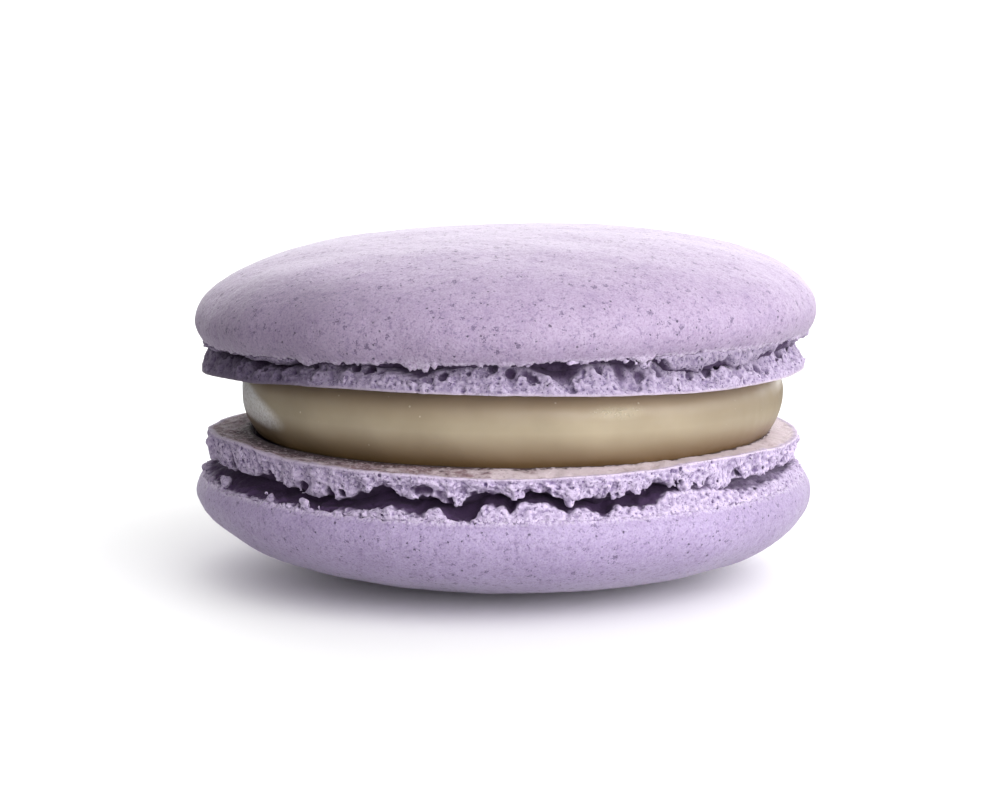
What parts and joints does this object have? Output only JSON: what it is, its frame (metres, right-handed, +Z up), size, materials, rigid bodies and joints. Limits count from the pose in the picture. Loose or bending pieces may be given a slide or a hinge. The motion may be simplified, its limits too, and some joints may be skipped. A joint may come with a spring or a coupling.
{
  "type": "french macaron",
  "caption": "Round french macaron: two domed almond shells with ruffled crumb feet, joined by a thick layer of glossy ganache, lying flat.",
  "frame": {"origin": "bottom centre of the macaron, level with the small flat that it rests on", "axes": "+Z up through both shells, +X to the right and -Y to the front, where the upper shell is raised a little"},
  "size_m": [0.045, 0.045, 0.025],
  "materials": {
    "shell": "matte, powdery baked almond meringue in pale lilac, with darker specks and a porous crumb foot",
    "ganache": "soft glossy khaki-beige cream, duller where it has dried"
  },
  "bodies": {
    "root": {"shell_bottom": "shell", "filling": "ganache", "shell_top": "shell"}
  },
  "joints": []
}
